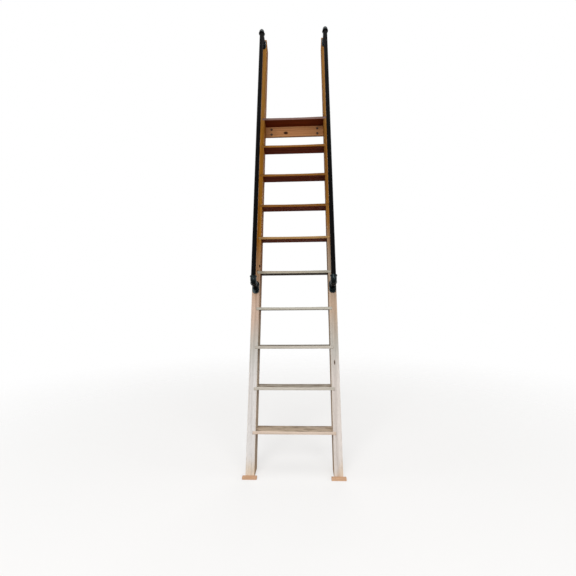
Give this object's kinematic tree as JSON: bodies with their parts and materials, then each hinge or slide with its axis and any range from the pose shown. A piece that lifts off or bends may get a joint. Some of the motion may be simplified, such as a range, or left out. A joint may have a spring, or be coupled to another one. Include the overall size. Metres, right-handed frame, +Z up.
{
  "type": "loft ladder",
  "caption": "Steep fixed timber loft ladder: raked stringers with housed treads, a hanger board at the loft edge, toe cleats at the feet, and an iron pipe handrail on each side.",
  "frame": {"origin": "middle of the hanger board's back face, which is fixed to the edge of the loft", "axes": "+X across the ladder to a climber's right, +Y level into the loft, +Z up; the lower floor is at z = -2.567 m and the loft floor at z = +0.073 m"},
  "size_m": [0.648, 1.2428, 3.485],
  "materials": {
    "stringer_wood": "sawn and planed hardwood, oiled amber above and worn pale below",
    "tread_wood": "planed hardwood, worn grey-brown on top, pale along the nosing",
    "hanger_wood": "oiled red-brown hardwood",
    "foot_wood": "bare pinkish hardwood",
    "rail_pipe": "black steel pipe, satin",
    "iron_fitting": "black malleable iron, satin with a blue-green sheen"
  },
  "bodies": {
    "root": {"left_stringer": "stringer_wood", "right_stringer": "stringer_wood", "tread_01": "tread_wood", "tread_02": "tread_wood", "tread_03": "tread_wood", "tread_04": "tread_wood", "tread_05": "tread_wood", "tread_06": "tread_wood", "tread_07": "tread_wood", "tread_08": "tread_wood", "tread_09": "tread_wood", "tread_10": "tread_wood", "hanger_board": "hanger_wood", "left_foot_cleat": "foot_wood", "right_foot_cleat": "foot_wood", "left_handrail": "rail_pipe", "right_handrail": "rail_pipe", "left_lower_flange": "iron_fitting", "left_lower_nipple": "rail_pipe", "left_lower_elbow": "iron_fitting", "left_upper_flange": "iron_fitting", "left_upper_nipple": "rail_pipe", "left_upper_elbow": "iron_fitting", "right_lower_flange": "iron_fitting", "right_lower_nipple": "rail_pipe", "right_lower_elbow": "iron_fitting", "right_upper_flange": "iron_fitting", "right_upper_nipple": "rail_pipe", "right_upper_elbow": "iron_fitting"}
  },
  "joints": []
}
